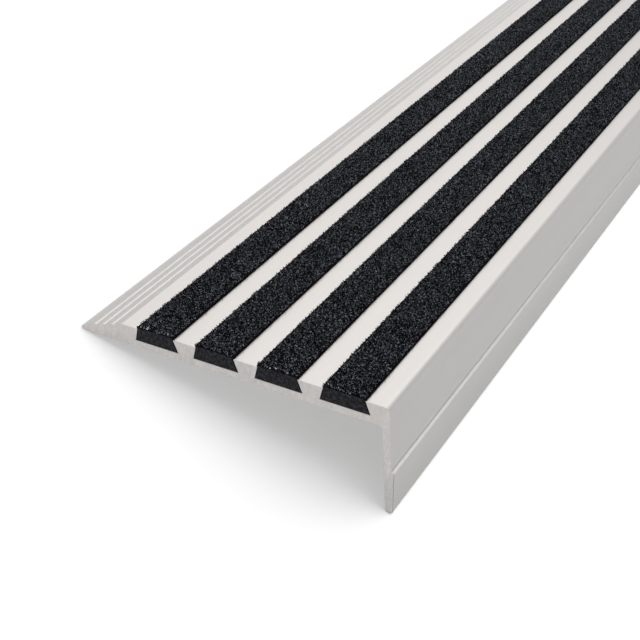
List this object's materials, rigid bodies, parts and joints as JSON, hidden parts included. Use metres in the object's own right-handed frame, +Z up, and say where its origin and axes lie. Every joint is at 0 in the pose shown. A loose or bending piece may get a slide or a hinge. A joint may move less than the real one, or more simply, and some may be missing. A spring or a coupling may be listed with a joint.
{
  "type": "stair nosing",
  "caption": "Extruded aluminium stair nosing: a flat tread with black grit strips in dovetail grooves, a feathered terraced back edge and a stepped riser leg, to cap a stair's front edge.",
  "frame": {"origin": "on the floor under the middle of the piece's box, as it lies unheld on its back tip and the foot of its leg", "axes": "+X along the length, -Y the way the riser leg faces, +Z up; the tread slopes up toward the riser by 16.4 degrees at rest"},
  "size_m": [0.6, 0.0734, 0.0238],
  "materials": {
    "aluminium": "satin",
    "grit": "matte"
  },
  "bodies": {
    "root": {"nosing_profile": "aluminium", "grit_strip_1": "grit", "grit_strip_2": "grit", "grit_strip_3": "grit", "grit_strip_4": "grit"}
  },
  "joints": []
}
